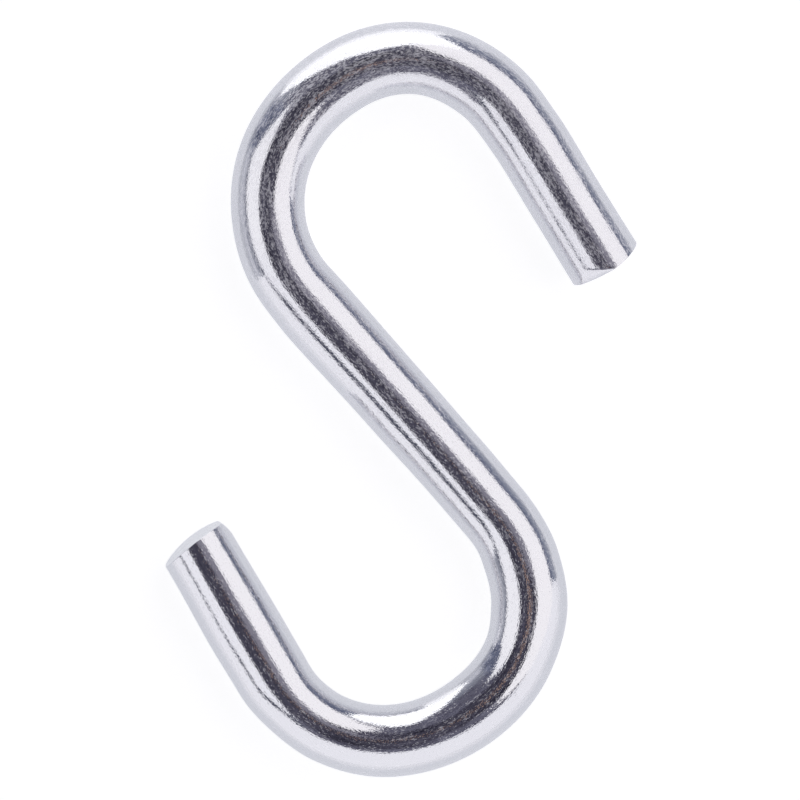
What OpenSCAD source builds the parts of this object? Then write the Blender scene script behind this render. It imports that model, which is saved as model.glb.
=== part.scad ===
// S hook: one length of round steel wire, sheared off at both ends and bent twice.
// It lies flat on Z = 0, with the middle of its outline over the origin and its long side along Y.

/* [Wire] */
// Diameter of the round wire
wire_d = 6.35; // [5:0.05:7.5]

/* [Shank] */
// Length of the straight stretch between the two bends
shank_len = 24.7; // [22:0.1:36]
// Lean of the shank to the left of the Y axis
shank_lean = 41.4; // [36:0.1:46]

/* [Bend radii] */
// Centreline radius where each bend leaves the shank
near_r = 11.3; // [10:0.1:13]
// Centreline radius over each crown, where the wire springs back the most
crown_r = 12.9; // [11:0.1:15]
// Centreline radius where each bend runs out into its leg
far_r = 10.7; // [9.5:0.1:12.5]

/* [Upper bend] */
// Sweep at the near radius, in degrees
upper_near_a = 56.8; // [50:0.1:64]
// Sweep at the crown radius, in degrees
upper_crown_a = 45.8; // [38:0.1:52]
// Sweep at the far radius, in degrees
upper_far_a = 87; // [80:0.1:92]

/* [Lower bend] */
// Sweep at the near radius, in degrees
lower_near_a = 88.3; // [82:0.1:94]
// Sweep at the crown radius, in degrees
lower_crown_a = 40.3; // [34:0.1:46]
// Sweep at the far radius, in degrees
lower_far_a = 62.4; // [55:0.1:68]

/* [Legs] */
// Straight leg after the upper bend, up to the middle of its cut face
upper_leg = 14.7; // [9:0.1:18]
// Straight leg after the lower bend, up to the middle of its cut face
lower_leg = 13.6; // [9:0.1:18]

/* [Sheared ends] */
// Slant of the shear, which leans both cut faces the same way on the straight blank
cut_slant = 9.5; // [0:0.5:20]
// Turn of the upper cut face, whose inner side reaches out past its outer side
upper_skew = 2; // [0:0.5:15]
// Turn of the lower cut face, whose inner side reaches out past its outer side
lower_skew = 7.5; // [0:0.5:15]
// Radius of the shallow dome that the shear leaves across each cut face
dome_r = 15; // [10:0.5:60]
// Radius of the shoulder that the shear rolled over on the inner side of the lower end
roll_r = 3.4; // [2:0.1:6]
// How far that shoulder eats into the side of the wire, at the cut face
roll_depth = 0.6; // [0.1:0.05:1]
// Radius of the tighter edge that the shear rolled over on the upper end
upper_roll_r = 1.5; // [1:0.1:3]
// How far that edge eats into the side of the wire, at the cut face
upper_roll_depth = 0.75; // [0.1:0.05:0.9]
// Where that edge is: 90 degrees is on top of the leg, 180 on its inner side
upper_roll_at = 122; // [90:1:180]

/* [Hidden] */
// Facets round the wire, and round a whole turn of a bend
$fn = 96;
wire_r = wire_d / 2;
// Each bend is three arcs in a row, as [centreline radius, sweep]
upper_bend = [[near_r, upper_near_a], [crown_r, upper_crown_a], [far_r, upper_far_a]];
lower_bend = [[near_r, lower_near_a], [crown_r, lower_crown_a], [far_r, lower_far_a]];
// The edge that the shear rolled over on each end, as [radius, depth, place round the leg]
upper_roll = [upper_roll_r, upper_roll_depth, upper_roll_at];
lower_roll = [roll_r, roll_depth, 180];
// Each stretch of wire is this much slimmer than the fuller one it runs into, on its radius, and
// reaches this far along inside it, so every joint closes cleanly
joint_step = 0.01;
joint_lap = 0.1;
// How far a cutting block reaches past what it trims
clear = wire_d;

// A limb is half of the hook, drawn from the middle of the shank at [0, 0], setting off along +Y.
// Its headings are angles from +X, and it only ever turns to the right.

function centre_of(p, heading, r) = p + r * [sin(heading), -cos(heading)];
function point_on(centre, heading, r) = centre + r * [-sin(heading), cos(heading)];

// Where arc number i of a bend starts, as [point, heading]; one past the last arc is the leg's start
function start_of(bend, i) =
  i == 0 ? [[0, shank_len / 2], 90]
  : let (from = start_of(bend, i - 1), r = bend[i - 1][0], heading = from[1] - bend[i - 1][1])
    [point_on(centre_of(from[0], from[1], r), heading, r), heading];

// Wire radius in arc number i of a bend: the crown is the slimmest
function arc_wire_r(i) = wire_r - (i == 1 ? 2 : 1) * joint_step;

// Outermost points of a limb: every half degree round the bend, then round the rim of its cut face
function bend_edge(bend) = [
  for (i = [0 : len(bend) - 1])
    let (from = start_of(bend, i), r = bend[i][0], centre = centre_of(from[0], from[1], r))
      for (a = [0 : 0.5 : bend[i][1]]) point_on(centre, from[1] - a, r + arc_wire_r(i))
];
function rim_edge(bend, leg, skew) =
  let (from = start_of(bend, len(bend)), heading = from[1])
  [
    for (a = [0 : 5 : 355])
      let (side = wire_r * cos(a), out = leg - side * tan(skew) + wire_r * sin(a) * tan(cut_slant))
        from[0] + out * [cos(heading), sin(heading)] + side * [-sin(heading), cos(heading)]
  ];
function turned(points, a) = [
  for (p = points) [p[0] * cos(a) - p[1] * sin(a), p[0] * sin(a) + p[1] * cos(a)]
];
outline = concat(
  turned(concat(bend_edge(upper_bend), rim_edge(upper_bend, upper_leg, upper_skew)), shank_lean),
  turned(concat(bend_edge(lower_bend), rim_edge(lower_bend, lower_leg, lower_skew)), shank_lean + 180)
);
// Middle of the outline's box, which goes over the origin
middle = [
  for (axis = [0, 1])
    let (along = [for (p = outline) p[axis]]) (min(along) + max(along)) / 2
];

// Straight wire along +X
module straight(len) {
  rotate([0, 90, 0]) cylinder(r = wire_r, h = len);
}

// One arc of wire, turning right from point p
module arc(p, heading, r, sweep, thick_r) {
  centre = centre_of(p, heading, r);
  lap_a = joint_lap / r * 180 / PI;
  translate([centre[0], centre[1], 0])
    rotate_extrude(angle = sweep + 2 * lap_a, start = heading + 90 - sweep - lap_a)
      translate([r, 0]) circle(r = thick_r);
}

// A block with one round face, which is its -X side: a cylinder of radius r along Z, centred at x = -r
module hollow_block(r) {
  difference() {
    translate([-clear, -clear, -clear]) cube([3 * clear, 2 * clear, 2 * clear]);
    translate([-r, 0, 0]) cylinder(r = r, h = 4 * clear, center = true);
  }
}

// What the shear takes off beyond a leg: the leg's axis is X, and +Y is its outer side
module shear(leg, slant, skew) {
  translate([leg, 0, 0]) rotate([0, slant, skew]) hollow_block(dome_r);
}

// What the shear rolls off a leg near its cut; rolled is [radius, depth, place round the leg], where
// 0 degrees is its outer side, 90 its top and 180 its inner side
module roll_over(leg, slant, skew, rolled) {
  r = rolled[0];
  depth = rolled[1];
  at = rolled[2];
  run = sqrt(depth * (2 * r - depth));
  edge = leg + wire_r * (sin(at) * tan(slant) / cos(skew) - cos(at) * tan(skew));
  rotate([at - 180, 0, 0]) translate([edge - run, -wire_r, 0]) difference() {
    translate([0, -clear, -clear]) cube([run + 2 * clear, clear + r, 2 * clear]);
    translate([0, r, 0]) cylinder(r = r, h = 4 * clear, center = true);
  }
}

// Half of the shank, one bend and its leg; slant is positive where the top edge reaches out
module limb(bend, leg, slant, skew, rolled) {
  rotate([0, 0, 90]) straight(shank_len / 2);
  for (i = [0 : len(bend) - 1]) {
    from = start_of(bend, i);
    arc(from[0], from[1], bend[i][0], bend[i][1], arc_wire_r(i));
  }
  end = start_of(bend, len(bend));
  translate([end[0][0], end[0][1], 0]) rotate([0, 0, end[1]]) difference() {
    straight(leg + wire_d);
    shear(leg, slant, skew);
    roll_over(leg, slant, skew, rolled);
  }
}

module hook() {
  color("silver") translate([-middle[0], -middle[1], wire_r]) rotate([0, 0, shank_lean]) {
    limb(upper_bend, upper_leg, cut_slant, upper_skew, upper_roll);
    rotate([0, 0, 180]) limb(lower_bend, lower_leg, -cut_slant, lower_skew, lower_roll);
  }
}

hook();
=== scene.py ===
"""An S hook of bright zinc-plated round wire, lying flat on a pale studio floor."""

import bpy
import numpy as np
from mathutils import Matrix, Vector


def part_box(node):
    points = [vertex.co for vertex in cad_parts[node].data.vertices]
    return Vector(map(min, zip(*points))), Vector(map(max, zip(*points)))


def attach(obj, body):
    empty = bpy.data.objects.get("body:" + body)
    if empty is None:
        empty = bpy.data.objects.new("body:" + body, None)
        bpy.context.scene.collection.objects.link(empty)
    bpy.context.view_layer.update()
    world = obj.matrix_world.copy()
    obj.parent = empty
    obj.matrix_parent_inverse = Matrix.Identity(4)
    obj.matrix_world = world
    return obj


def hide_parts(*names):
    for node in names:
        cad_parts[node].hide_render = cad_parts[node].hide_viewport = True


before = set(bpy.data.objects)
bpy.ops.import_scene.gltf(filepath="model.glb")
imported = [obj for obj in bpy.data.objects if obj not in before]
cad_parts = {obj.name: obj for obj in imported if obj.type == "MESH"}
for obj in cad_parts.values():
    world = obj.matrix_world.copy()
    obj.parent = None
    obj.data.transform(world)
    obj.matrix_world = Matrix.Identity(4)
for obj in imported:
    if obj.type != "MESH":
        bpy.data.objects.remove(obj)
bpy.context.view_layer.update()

MM = 0.001

# The hook's driving sizes, in metres and degrees. They are those of the construction, but for the lower
# leg, which is 0.17 mm shorter here and cut 3 degrees squarer.
WIRE_R = 3.175 * MM
SHANK_LEN = 24.7 * MM
SHANK_LEAN = 41.4
NEAR_R = 11.3 * MM
CROWN_R = 12.9 * MM
FAR_R = 10.7 * MM
DOME_R = 15 * MM

# Each limb as it leaves the middle of the shank: its arcs as (centreline radius, sweep), its leg, the slant
# and skew of its sheared face, and the edge that the shear rolled over: where it is round the leg, from the
# outer side at 0 over the top at 90 to the inner side at 180, the radius of the roll and its depth. Its swell
# is how far bending pushed the outer and the inner side of the wire out or in, as (run, outer, inner) in mm.
UPPER_LIMB = {
    "arcs": [(NEAR_R, 56.8), (CROWN_R, 45.8), (FAR_R, 87)],
    "leg": 14.7 * MM,
    "slant": 9.5,
    "skew": 2,
    "roll": {"at": 122, "radius": 1.5 * MM, "depth": 0.75 * MM},
    "swell": [(0, 0, 0.08), (10, 0.16, 0.12), (14, 0, 0.05), (19, -0.09, 0), (25, 0, -0.04), (32, -0.10, 0),
              (40, -0.03, -0.19), (46, -0.08, 0.02), (49, -0.03, 0.07), (53, 0.13, -0.09), (59, 0.04, -0.04),
              (65, 0.05, 0.01)],
}
LOWER_LIMB = {
    "arcs": [(NEAR_R, 88.3), (CROWN_R, 40.3), (FAR_R, 62.4)],
    "leg": 13.43 * MM,
    "slant": -6.5,
    "skew": 7.5,
    "roll": {"at": 180, "radius": 3.4 * MM, "depth": 0.6 * MM},
    "swell": [(0, 0.08, 0), (7, 0.03, -0.10), (14, -0.11, -0.04), (17, 0, 0.08), (21, 0.18, -0.04),
              (25, 0.05, -0.24), (31, 0, -0.11), (38, 0, -0.20), (44, -0.14, -0.18), (47, -0.22, -0.10),
              (51, 0, 0.06), (55, 0.07, 0.08), (62, -0.07, 0.03), (65, -0.07, 0.03)],
}

# The wire's surface lies this far inside the construction's fullest radius, which is where its bends lie
BEND_SLACK = 0.02 * MM
# The round of a sheared rim, and the widest blend of the wire's side into a rolled edge
RIM_ROUND = 0.05 * MM
ROLL_BLEND = 0.12 * MM

# Steps between rings along the wire and round it, the stretch of a leg that has rings of its own, and how
# many of those lead up to the rim, go round it and cross the face
RING_STEP = 0.25 * MM
SIDES = 128
END_STRETCH = 3.2 * MM
SIDE_RINGS, RIM_RINGS, FACE_RINGS = 25, 8, 17
# Passes that bring the rim's reach and its rolled radius to agree
RIM_PASSES = 60

# The camera looks straight down from VIEW_HEIGHT over the wire, close to the middle of the hook
VIEW_WIDTH = 67.42 * MM
VIEW_MIDDLE = (-0.075 * MM, -0.045 * MM)
VIEW_HEIGHT = 1.2
SENSOR = 36
CLIP = 0.1, 10


# ---- the wire's centreline ----------------------------------------------------------------------------


def limb_line(limb, side, step):
    """Centreline of a limb from the middle of the shank to the end of its leg, as (places, headings, runs).

    The heading stays the same along the shank and the leg and falls evenly along each arc, so over the length
    run it is a line through a few knots. The place is the running sum of the heading's cosine and sine.
    """
    knots, headings = [0, SHANK_LEN / 2], [90 + SHANK_LEAN + side] * 2
    for radius, sweep in limb["arcs"]:
        knots.append(knots[-1] + radius * np.radians(sweep))
        headings.append(headings[-1] - sweep)
    knots.append(knots[-1] + limb["leg"])
    headings.append(headings[-1])
    runs = np.linspace(0, knots[-1], int(np.ceil(knots[-1] / step)) + 1)
    heading = np.radians(np.interp(runs, knots, headings))
    ahead = np.stack([np.cos(heading), np.sin(heading), 0 * heading], axis=1)
    between = (ahead[1:] + ahead[:-1]) / 2 * np.diff(runs)[:, None]
    places = np.concatenate([np.zeros((1, 3)), np.cumsum(between, axis=0)])
    return places, ahead, runs


# ---- the sheared ends ---------------------------------------------------------------------------------


def cut_reach(limb, out, up):
    """How far the sheared face reaches along the leg at a place (out, up) of its section.

    The face is part of a cylinder of radius DOME_R whose axis stands across the leg. It is slanted about the
    line across the leg and then skewed about the upright line, and the reach is the outer root of the
    quadratic that the turned cylinder gives.
    """
    slant, skew = np.radians(limb["slant"]), np.radians(limb["skew"])
    forward, offset = np.cos(skew) * np.cos(slant), out * np.sin(skew) * np.cos(slant) - up * np.sin(slant)
    across, shift = -np.sin(skew), out * np.cos(skew)
    square = forward**2 + across**2
    half = forward * (offset + DOME_R) + across * shift
    rest = (offset + DOME_R) ** 2 + shift**2 - DOME_R**2
    return limb["leg"] + (np.sqrt(half**2 - square * rest) - half) / square


def rolled_radius(limb, reach, turn, wire_r):
    """Radius of the wire at a reach along the leg and a turn round it, less where the shear rolled its edge.

    The roll is a round of its own radius that starts level with the wire and sinks to its depth where the
    cut would be without its dome, square to the direction it faces. A smooth least joins it to the wire.
    """
    roll = limb["roll"]
    facing, slant, skew = np.radians([roll["at"], limb["slant"], limb["skew"]])
    run = np.sqrt(roll["depth"] * (2 * roll["radius"] - roll["depth"]))
    lean = np.sin(facing) * np.tan(slant) / np.cos(skew) - np.cos(facing) * np.tan(skew)
    edge = limb["leg"] + WIRE_R * lean
    inside = np.clip(reach - (edge - run), 0, 0.98 * roll["radius"])
    sunk = roll["radius"] - np.sqrt(roll["radius"] ** 2 - inside**2)
    limit = (wire_r - sunk) / np.maximum(np.cos(turn - facing), 0.05)
    width = np.clip(sunk, 0.001 * MM, ROLL_BLEND)
    blend = np.clip(0.5 + (limit - wire_r) / (2 * width), 0, 1)
    return limit + (wire_r - limit) * blend - width * blend * (1 - blend)


def leg_end(limb, start_reach, turns, wire_r):
    """Rings of a leg's last stretch in its own frame, as (reach, out, up), with its rim and sheared face.

    Each ring is one value of a profile parameter, and each column one turn round the wire. The profile runs
    along the side up to the rim, round the rim on a quadratic curve, and over the face to its middle.
    """
    rim = np.full_like(turns, limb["leg"])
    for _ in range(RIM_PASSES):
        radius = rolled_radius(limb, rim, turns, wire_r)
        rim = cut_reach(limb, radius * np.cos(turns), radius * np.sin(turns))

    def side(reach):
        r = rolled_radius(limb, reach, turns, wire_r)
        return np.stack([reach, r * np.cos(turns), r * np.sin(turns)], axis=-1)

    def face(share):
        r = rolled_radius(limb, rim, turns, wire_r) * share
        out, up = r * np.cos(turns), r * np.sin(turns)
        return np.stack([cut_reach(limb, out, up), out, up], axis=-1)

    before = rim - RIM_ROUND
    along = np.linspace(0, 1, SIDE_RINGS + 1)[1:]
    rings = [side(start_reach + (before - start_reach) * t) for t in along]
    face_share = 1 - RIM_ROUND / WIRE_R
    first, corner, last = side(before), side(rim), face(face_share)
    for t in np.linspace(0, 1, RIM_RINGS + 1)[1:]:
        rings.append(first * (1 - t) ** 2 + corner * 2 * t * (1 - t) + last * t**2)
    rings += [face(face_share * (1 - t)) for t in np.linspace(0, 1, FACE_RINGS + 1)[1:-1]]
    rings.append(face(0))
    return np.array(rings)


def swollen(limb, blank):
    """The sideways place of each point of a limb, from its place on the blank, swells and necks included.

    Between two knots of the swell the stand-off of each side eases from one value to the next on a cubic
    with level ends. The round section is stretched and shifted sideways to reach both sides.
    """
    knots, outer, inner = np.array(limb["swell"]).T * MM
    after = np.clip(np.searchsorted(knots, blank[..., 0]), 1, len(knots) - 1)
    share = np.clip((blank[..., 0] - knots[after - 1]) / (knots[after] - knots[after - 1]), 0, 1)
    share = share**2 * (3 - 2 * share)
    out = outer[after - 1] * (1 - share) + outer[after] * share
    back = inner[after - 1] * (1 - share) + inner[after] * share
    return (out - back) / 2 + blank[..., 1] * (1 + (out + back) / (2 * WIRE_R))


def wire_limb(limb, side):
    """Rings of half of the hook, from the middle of its shank to the middle of its sheared face.

    A ring on the run is the circle of the wire's radius square to the centreline; the rings of the leg's end
    are turned from the leg's frame into the hook's. It returns the places and, for each of them, its place on
    the straight blank before bending: the length run, and the two offsets from the wire's axis.
    """
    places, ahead, runs = limb_line(limb, side, RING_STEP)
    leg_start = runs[-1] - limb["leg"]
    turns = np.linspace(0, 2 * np.pi, SIDES, endpoint=False)
    wire_r = WIRE_R - BEND_SLACK
    plain = runs <= runs[-1] - END_STRETCH
    outward = np.stack([-ahead[:, 1], ahead[:, 0], ahead[:, 2]], axis=1)
    up = np.array([0, 0, 1])
    grid = (plain.sum(), SIDES)
    circle = np.stack([np.cos(turns), np.sin(turns)], axis=-1) * wire_r
    body = np.concatenate([np.broadcast_to(runs[plain, None, None], (*grid, 1)),
                           np.broadcast_to(circle, (*grid, 2))], axis=2)
    body_places = (places[plain, None] + outward[plain, None] * swollen(limb, body)[..., None]
                   + up * body[..., 2:])
    end = leg_end(limb, runs[plain][-1] - leg_start, turns, wire_r)
    leg_origin = places[-1] - ahead[-1] * limb["leg"]
    end_blank = end + np.array([leg_start, 0, 0])
    end_places = (leg_origin + end[..., :1] * ahead[-1] + swollen(limb, end_blank)[..., None] * outward[-1]
                  + end[..., 2:] * up)
    return np.concatenate([body_places, end_places]), np.concatenate([body, end_blank])


def hook_wire():
    """The whole hook as one closed surface over a grid of length and turn.

    Both limbs leave the middle of the shank, the lower one half a turn round from the upper one. The grid
    runs from the upper face's middle back along the upper limb and out along the lower one.
    """
    upper, upper_blank = wire_limb(UPPER_LIMB, 0)
    lower, lower_blank = wire_limb(LOWER_LIMB, 180)
    # Out along the lower limb, what was the outer side of the upper one is on the other side
    back = (SIDES // 2 - np.arange(SIDES)) % SIDES
    upper, upper_blank = upper[::-1][:-1, back], upper_blank[::-1][:-1, back] * [-1, -1, 1]
    return np.concatenate([upper, lower]), np.concatenate([upper_blank, lower_blank])


def mesh_from_rings(name, rings, blank):
    """A closed mesh from a grid of rings, whose first and last rings are single points.

    Vertex i * SIDES + j is ring i at side j, with one pole before them and one after.
    """
    inner = rings[1:-1]
    count = len(inner)
    points = np.concatenate([rings[0, :1], inner.reshape(-1, 3), rings[-1, :1]])
    on_blank = np.concatenate([blank[0, :1], blank[1:-1].reshape(-1, 3), blank[-1, :1]])
    ring, side = np.meshgrid(np.arange(count - 1), np.arange(SIDES), indexing="ij")
    ahead = (side + 1) % SIDES
    quads = np.stack([ring * SIDES + side, ring * SIDES + ahead, (ring + 1) * SIDES + ahead,
                      (ring + 1) * SIDES + side], axis=-1).reshape(-1, 4) + 1
    around = np.arange(SIDES)
    after = (around + 1) % SIDES
    last = (count - 1) * SIDES + 1
    first_fan = np.stack([0 * around, after + 1, around + 1], axis=-1)
    last_fan = np.stack([0 * around + len(points) - 1, last + around, last + after], axis=-1)
    mesh = bpy.data.meshes.new(name)
    mesh.from_pydata(points.tolist(), [], quads.tolist() + first_fan.tolist() + last_fan.tolist())
    mesh.polygons.foreach_set("use_smooth", np.ones(len(mesh.polygons), bool))
    mesh.attributes.new("blank", "FLOAT_VECTOR", "POINT").data.foreach_set(
        "vector", on_blank.astype(np.float32).ravel())
    mesh.validate()
    mesh.update()
    piece = bpy.data.objects.new(name, mesh)
    bpy.context.scene.collection.objects.link(piece)
    return piece


# ---- shader helpers -----------------------------------------------------------------------------------


class Value:
    """A number that changes over a surface or a sky. It wraps a socket; arithmetic on it adds Math nodes."""

    def __init__(self, shader, socket):
        self.shader = shader
        self.socket = socket

    def maths(self, operation, first, second):
        return self.shader.node("ShaderNodeMath", {"operation": operation}, {0: first, 1: second})

    def __add__(self, other):
        return self.maths("ADD", self, other)

    def __radd__(self, other):
        return self.maths("ADD", other, self)

    def __mul__(self, other):
        return self.maths("MULTIPLY", self, other)

    def __rmul__(self, other):
        return self.maths("MULTIPLY", other, self)


class Shader:
    """The node tree of a material or of the world, emptied, with its output node."""

    def __init__(self, owner, output):
        owner.use_nodes = True
        self.tree = owner.node_tree
        self.tree.nodes.clear()
        self.output = self.tree.nodes.new(output)

    def node(self, kind, settings, inputs, output=0):
        """Adds a node: its settings first, then a value or a link for each input, and gives one output."""
        made = self.tree.nodes.new(kind)
        for name, setting in settings.items():
            setattr(made, name, setting)
        for name, given in inputs.items():
            if isinstance(given, Value):
                self.tree.links.new(given.socket, made.inputs[name])
            else:
                made.inputs[name].default_value = given
        return Value(self, made.outputs[output])

    def noise(self, place, scale, detail, roughness=0.5):
        """Noise from 0 to 1 about 0.5, at a scale in lumps per metre."""
        return self.node("ShaderNodeTexNoise", {},
                         {"Vector": place, "Scale": scale, "Detail": detail, "Roughness": roughness})

    def stretched(self, place, scale):
        """A place multiplied by three numbers."""
        return self.node("ShaderNodeVectorMath", {"operation": "MULTIPLY"}, {0: place, 1: scale})

    def ramp(self, value, low, high, from_low=0.0, from_high=1.0):
        """A smooth step of the value over from_low to from_high, giving low to high."""
        return self.node("ShaderNodeMapRange", {"interpolation_type": "SMOOTHSTEP"},
                         {"Value": value, "From Min": from_low, "From Max": from_high,
                          "To Min": low, "To Max": high})

    def mix(self, factor, first, second):
        """One colour into another."""
        return self.node("ShaderNodeMix", {"data_type": "RGBA"}, {0: factor, 6: first, 7: second}, 2)

    def finish(self, surface, socket="Surface"):
        """Joins the shader to the output."""
        self.tree.links.new(surface.socket, self.output.inputs[socket])


# ---- the zinc -----------------------------------------------------------------------------------------

ZINC = (0.78, 0.78, 0.81, 1)
BLOOM = (0.95, 0.94, 0.98, 1)
MIRROR_ROUGHNESS, BLOOM_ROUGHNESS = 0.03, 0.5
# Lumps per metre of each pattern, and how high it stands on the surface
GRAIN_SCALE, GRAIN_HEIGHT = 9500, 0.008 * MM
LINES_SCALE, LINES_HEIGHT = 3000, 0.008 * MM
WAVES_SCALE, WAVES_HEIGHT = 420, 0.012 * MM
NICKS_SCALE, NICKS_HEIGHT = 2800, 0.008 * MM
# The bloom lies in fine specks that gather in patches, and hides this much of the mirror where it is thickest
SPECKS_SCALE, PATCHES_SCALE = 8400, 1600
THICK_BLOOM = 0.60
# The bloom gains this much towards the upper end, from one run on the blank to the other in metres
UPPER_GAIN, GAIN_RUNS = 0.145, (-0.035, 0.045)


def bright_zinc():
    """Bright zinc plate on drawn wire: a mirror under a thin pale bloom in specks.

    The mirror has a fine grain, lines along the wire, slow waves and a few nicks. All patterns lie on the
    straight blank, whose X is the run along the wire, so they follow it round the bends.
    """
    material = bpy.data.materials.new("bright_zinc")
    zinc = Shader(material, "ShaderNodeOutputMaterial")
    blank = zinc.node("ShaderNodeAttribute", {"attribute_name": "blank"}, {}, "Vector")
    grain = zinc.noise(zinc.stretched(blank, (0.4, 1, 1)), GRAIN_SCALE, 1.0, 0.6)
    lines = zinc.noise(zinc.stretched(blank, (0.05, 1, 1)), LINES_SCALE, 2.0, 0.6)
    waves = zinc.noise(zinc.stretched(blank, (0.5, 1, 1)), WAVES_SCALE, 1.0)
    nicks = zinc.ramp(zinc.noise(blank, NICKS_SCALE, 0.0), 0.0, NICKS_HEIGHT, 0.83, 0.90)
    height = grain * GRAIN_HEIGHT + lines * LINES_HEIGHT + waves * WAVES_HEIGHT + nicks
    bump = zinc.node("ShaderNodeBump", {}, {"Strength": 1.0, "Distance": 1.0, "Height": height})
    mirror = zinc.node("ShaderNodeBsdfPrincipled", {},
                       {"Base Color": ZINC, "Metallic": 1.0, "Roughness": MIRROR_ROUGHNESS, "Normal": bump})
    bloom = zinc.node("ShaderNodeBsdfPrincipled", {},
                      {"Base Color": BLOOM, "Metallic": 1.0, "Roughness": BLOOM_ROUGHNESS, "Normal": bump})
    specks = zinc.noise(zinc.stretched(blank, (0.4, 1, 1)), SPECKS_SCALE, 1.0, 0.7)
    patches = zinc.noise(zinc.stretched(blank, (0.3, 1, 1)), PATCHES_SCALE, 2.0, 0.6)
    run = zinc.node("ShaderNodeSeparateXYZ", {}, {0: blank}, "X")
    upper = zinc.ramp(run, UPPER_GAIN, 0.0, *GAIN_RUNS)
    cover = zinc.ramp(specks + patches * 0.5 + upper, 0.0, THICK_BLOOM, 0.76, 1.13)
    zinc.finish(zinc.node("ShaderNodeMixShader", {}, {0: cover, 1: mirror, 2: bloom}))
    return material


# ---- the studio ---------------------------------------------------------------------------------------


def looking(azimuth, down):
    """Unit direction at an azimuth from +X towards +Y and an angle down from overhead, in degrees."""
    a, d = np.radians(azimuth), np.radians(down)
    return np.array([np.sin(d) * np.cos(a), np.sin(d) * np.sin(a), np.cos(d)])


def cosine(sky, direction, aim):
    """Cosine of the angle between a direction and a given unit vector."""
    return sky.node("ShaderNodeVectorMath", {"operation": "DOT_PRODUCT"}, {0: direction, 1: aim}, "Value")


def panel(sky, direction, corners, soft):
    """Mask of a flat light panel with straight edges, given by its corners as (azimuth, down).

    Each edge lies in a plane through two corners and the hook, and the mask is the product of smooth steps
    across these planes.
    """
    rays = [looking(*corner) for corner in corners]
    middle = np.sum(rays, axis=0)
    mask = 1
    for here, there in zip(rays, rays[1:] + rays[:1]):
        edge = np.cross(here, there)
        edge *= np.sign(edge @ middle) / np.linalg.norm(edge)
        mask = mask * sky.ramp(cosine(sky, direction, edge), 0.0, 1.0, -soft, soft)
    return mask


def spot(sky, direction, azimuth, down, radius, soft):
    """Mask of a round patch about a direction, all in degrees."""
    outside, inside = np.cos(np.radians([radius + soft, radius - soft]))
    return sky.ramp(cosine(sky, direction, looking(azimuth, down)), 0.0, 1.0, outside, inside)


# Each dark tone is mottled between two colours
OVERHEAD = (0.016, 0.015, 0.027, 1), (0.105, 0.10, 0.14, 1)
CEILING = (0.060, 0.055, 0.085, 1), (0.20, 0.20, 0.26, 1)
ARM = (0.050, 0.060, 0.105, 1), (0.26, 0.28, 0.38, 1)
SLATE = (0.075, 0.085, 0.145, 1), (0.17, 0.185, 0.27, 1)
# The plain tones of the walls, by how low they are, and of the frame round the left panel
SLATE_LOW = (0.24, 0.265, 0.345, 1)
GREY = (0.24, 0.25, 0.30, 1)
GREY_LOW = (0.66, 0.67, 0.74, 1)
FRAME = (0.070, 0.075, 0.110, 1)
# The lights
PANEL_WHITE = (1.09, 1.065, 1.085, 1)
PANEL_LILAC = (1.06, 1.05, 1.08, 1)
PANEL_DIM = (1.0, 0.995, 1.045, 1)
WINDOW_WHITE = (1.4, 1.4, 1.42, 1)
CARD_WHITE = (0.99, 0.985, 1.03, 1)
# What hangs over the hook beside the lens
PATCH_PALE = (0.25, 0.24, 0.29, 1)
PATCH_WARM = (0.42, 0.29, 0.24, 1)
# The floor as the camera and as the wire's mirror see it, under other light, and its sheen
PAPER_WHITE = (0.82, 0.82, 0.82, 1)
PAPER_COOL = (0.56, 0.575, 0.61, 1)
PAPER_MATT = (0.42, 0.42, 0.42, 1)
PAPER_SHEEN = (0.95, 0.95, 0.95, 1)
SHEEN_ROUGHNESS = 0.1
FLOOR_HALF = 3.0

# Corners of the dark arm, of the light panels, of the white card's far end and of the dark frame, as
# (azimuth, down) in degrees seen from the hook
DARK_ARM = [(92, 15), (140, 15), (141, 36), (150, 48), (162, 62), (163, 78), (158, 90), (137, 96), (110, 50)]
RIGHT_PANEL = [(309, 31), (322, 43), (335, 62), (350, 72), (10, 76), (30, 75), (55, 70), (69, 68), (95, 40),
               (87, 29), (70, 19), (30, 10), (330, 14)]
LEFT_PANEL = [(137, 40), (150, 29), (165, 22), (200, 18), (218, 22), (230, 38), (225, 43), (212, 58.5),
              (190, 69), (162, 73)]
LEFT_CARD = [(206, 92), (206, 62), (214, 55), (223, 52), (233, 68), (237, 92)]
LEFT_FRAME = [(165, 40), (200, 25), (236, 38), (232.3, 50.3), (222.4, 59.5), (211, 64.6), (190, 71),
              (162, 75.5)]
# The dark opening overhead, as (azimuth, down, radius, soft edge) in degrees
OPENING = (216, 4.0, 25.0, 1.5)

# The white card below the hook, and the bright window above it, as (x, y, foot, head) stations in mm
CARD = [(-230, -112, 0.2, 66), (-130, -112, 0.2, 72), (-85, -112, 0.2, 112), (60, -112, 0.2, 114),
        (110, -104, 0.2, 116), (158, -62, 0.2, 90), (205, 17, 0.2, 46)]
WINDOW = [(66, 167, 66, 76), (31, 177, 0.2, 128), (-25, 178, 0.2, 203), (-44, 175, 0.2, 216),
          (-108, 144, 0.2, 76), (-128, 126, 0.2, 4)]
# The patches overhead, as (height, middle, long and short half-axis) in mm and their turn in degrees
PALE_PATCH = (2300, (560, 365), 570, 300, -4)
WARM_PATCH = (650, (31, -33), 31, 20, -20)
PATCH_SIDES = 48


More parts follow.
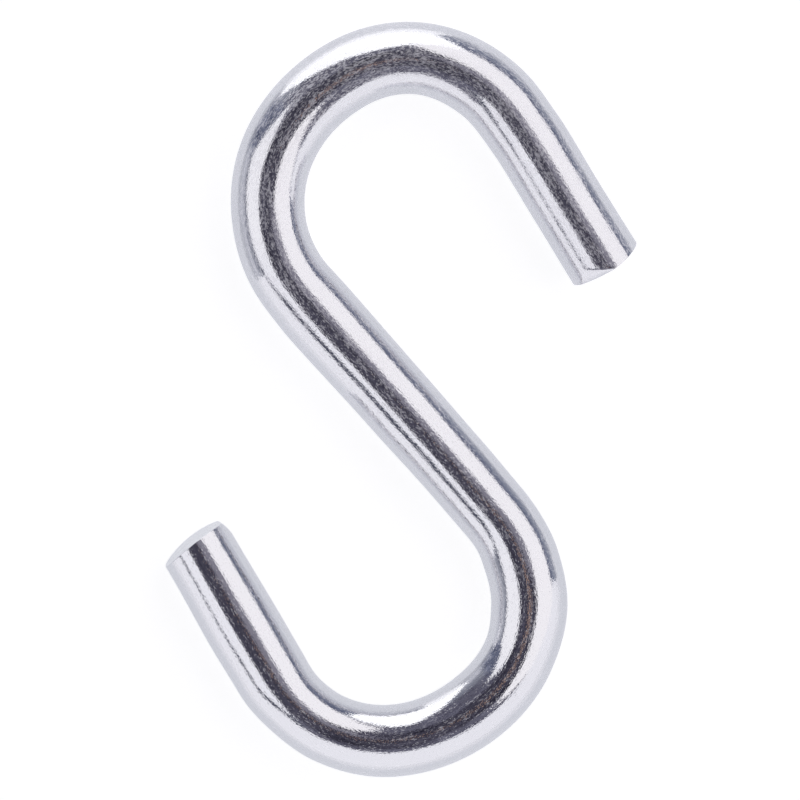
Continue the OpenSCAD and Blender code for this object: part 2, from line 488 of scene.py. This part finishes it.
def studio_sky():
    """Soft white panels round a dark overhead opening, as the wire mirrors them; the camera sees plain white.

    The walls pass from slate to grey towards the left, grow paler towards the floor and give way to the
    ceiling above. The arm, the panels and the opening lie over them in turn.
    """
    world = bpy.data.worlds.new("studio")
    bpy.context.scene.world = world
    sky = Shader(world, "ShaderNodeOutputWorld")
    direction = sky.node("ShaderNodeTexCoord", {}, {}, "Generated")
    height = sky.node("ShaderNodeSeparateXYZ", {}, {0: direction}, "Z")
    mottle = sky.ramp(sky.noise(direction, 10.0, 4.0, 0.75), 0.0, 1.0, 0.36, 0.66)
    overhead, ceiling, arm, slate = [sky.mix(mottle, *tones) for tones in (OVERHEAD, CEILING, ARM, SLATE)]
    left = sky.ramp(cosine(sky, direction, looking(195, 90)), 0.0, 1.0, -0.15, 0.55)
    walls = sky.mix(left, slate, GREY)
    walls_low = sky.mix(left, SLATE_LOW, GREY_LOW)
    colour = sky.mix(sky.ramp(height, 1.0, 0.0, -0.05, 0.32), walls, walls_low)
    colour = sky.mix(sky.ramp(height, 0.0, 1.0, 0.40, 0.55), colour, ceiling)
    lit = sky.ramp(cosine(sky, direction, looking(165, 50)), 0.0, 1.0, 0.80, 0.96)
    left_light = sky.mix(lit, PANEL_DIM, PANEL_LILAC)
    layers = [(arm, DARK_ARM, 0.05), (CARD_WHITE, LEFT_CARD, 0.01), (FRAME, LEFT_FRAME, 0.02),
              (PANEL_WHITE, RIGHT_PANEL, 0.015), (left_light, LEFT_PANEL, 0.015)]
    for tone, corners, soft in layers:
        colour = sky.mix(panel(sky, direction, corners, soft), colour, tone)
    colour = sky.mix(spot(sky, direction, *OPENING), colour, overhead)
    seen = sky.node("ShaderNodeLightPath", {}, {}, "Is Camera Ray")
    through = sky.node("ShaderNodeLightPath", {}, {}, "Is Transmission Ray")
    colour = sky.mix(seen + through, colour, (1, 1, 1, 1))
    sky.finish(sky.node("ShaderNodeBackground", {}, {"Color": colour, "Strength": 1.0}, "Background"))


def add_glow(name, colour, points, faces):
    """A studio mesh that glows in one colour and shows only in mirrors."""
    mesh = bpy.data.meshes.new(name)
    mesh.from_pydata(points, [], faces)
    glow = bpy.data.objects.new(name, mesh)
    bpy.context.scene.collection.objects.link(glow)
    paint = Shader(bpy.data.materials.new(name + "_colour"), "ShaderNodeOutputMaterial")
    paint.finish(paint.node("ShaderNodeEmission", {}, {"Color": colour, "Strength": 1.0}, "Emission"))
    mesh.materials.append(bpy.data.materials[name + "_colour"])
    glow.visible_camera = glow.visible_diffuse = glow.visible_shadow = glow.visible_transmission = False


def standing_card(name, colour, stations):
    """A glowing strip of card that stands on the floor; only the wire's mirror shows it.

    Its stations are (x, y, foot, head) in mm.
    """
    feet = [(x * MM, y * MM, foot * MM) for x, y, foot, _ in stations]
    heads = [(x * MM, y * MM, head * MM) for x, y, _, head in stations]
    count = len(stations)
    add_glow(name, colour, feet + heads, [(i, i + 1, count + i + 1, count + i) for i in range(count - 1)])


def overhead_patch(name, colour, height, middle, half_long, half_short, turn):
    """An ellipse of one colour high over the hook, beside the lens, which shows only in the wire's mirror.

    It lies on two half-axes, the long one turned about the upright line from +X.
    """
    round_it = np.linspace(0, 2 * np.pi, PATCH_SIDES, endpoint=False)
    along, across = half_long * MM * np.cos(round_it), half_short * MM * np.sin(round_it)
    lean = np.radians(turn)
    x = middle[0] * MM + along * np.cos(lean) - across * np.sin(lean)
    y = middle[1] * MM + along * np.sin(lean) + across * np.cos(lean)
    rim = np.stack([x, y, 0 * x + height * MM], axis=1).tolist()
    add_glow(name, colour, rim, [list(range(PATCH_SIDES))])


def studio_floor():
    """A wide pale floor under the hook. It glows white to the camera and to mirrors, and keeps the shadow.

    In a mirror it turns to a sheen where the look along it is grazing, as smooth paper does.
    """
    mesh = bpy.data.meshes.new("floor")
    corners = [(x * FLOOR_HALF, y * FLOOR_HALF, 0) for x, y in ((-1, -1), (1, -1), (1, 1), (-1, 1))]
    mesh.from_pydata(corners, [], [(0, 1, 2, 3)])
    floor = bpy.data.objects.new("floor", mesh)
    bpy.context.scene.collection.objects.link(floor)
    paper = Shader(bpy.data.materials.new("floor_paper"), "ShaderNodeOutputMaterial")
    camera, mirror, through = [paper.node("ShaderNodeLightPath", {}, {}, f"Is {kind} Ray")
                               for kind in ("Camera", "Glossy", "Transmission")]
    tone = paper.mix(mirror, PAPER_WHITE, PAPER_COOL)
    seen = camera + mirror + through
    glow = paper.node("ShaderNodeEmission", {}, {"Color": tone, "Strength": seen}, "Emission")
    matt = paper.node("ShaderNodeBsdfDiffuse", {}, {"Color": PAPER_MATT}, "BSDF")
    both = paper.node("ShaderNodeAddShader", {}, {0: glow, 1: matt}, "Shader")
    sheen = paper.node("ShaderNodeBsdfGlossy", {},
                       {"Color": PAPER_SHEEN, "Roughness": SHEEN_ROUGHNESS}, "BSDF")
    slope = paper.node("ShaderNodeLayerWeight", {}, {"Blend": 0.5}, "Facing")
    grazing = paper.ramp(slope, 0.0, 0.8, 0.58, 0.92)
    paper.finish(paper.node("ShaderNodeMixShader", {}, {0: grazing * mirror, 1: both, 2: sheen}, "Shader"))
    mesh.materials.append(bpy.data.materials["floor_paper"])


def overhead_camera():
    """Camera high over the middle of the hook, with a long lens, looking straight down with +Y up."""
    camera = bpy.data.cameras.new("camera")
    camera.sensor_width = SENSOR
    camera.lens = SENSOR * VIEW_HEIGHT / VIEW_WIDTH
    camera.clip_start, camera.clip_end = CLIP
    holder = bpy.data.objects.new("camera", camera)
    holder.location = (*VIEW_MIDDLE, WIRE_R + VIEW_HEIGHT)
    bpy.context.scene.collection.objects.link(holder)
    bpy.context.scene.camera = holder


# ---- the scene ----------------------------------------------------------------------------------------

rings, blank = hook_wire()
# The wire lies on the floor, with the middle of its outline where the construction's box has its middle
box_middle = np.mean([list(corner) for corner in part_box("hook")], axis=0)
outline_middle = (rings.min(axis=(0, 1)) + rings.max(axis=(0, 1))) / 2
shift = np.array([*(box_middle - outline_middle)[:2], WIRE_R])
hook = mesh_from_rings("hook_wire", rings + shift, blank)
hook.data.materials.append(bright_zinc())
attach(hook, "root")
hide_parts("hook")

studio_sky()
studio_floor()
standing_card("card", CARD_WHITE, CARD)
standing_card("window", WINDOW_WHITE, WINDOW)
overhead_patch("pale_patch", PATCH_PALE, *PALE_PATCH)
overhead_patch("warm_patch", PATCH_WARM, *WARM_PATCH)
overhead_camera()
bpy.context.scene.view_settings.view_transform = "Standard"
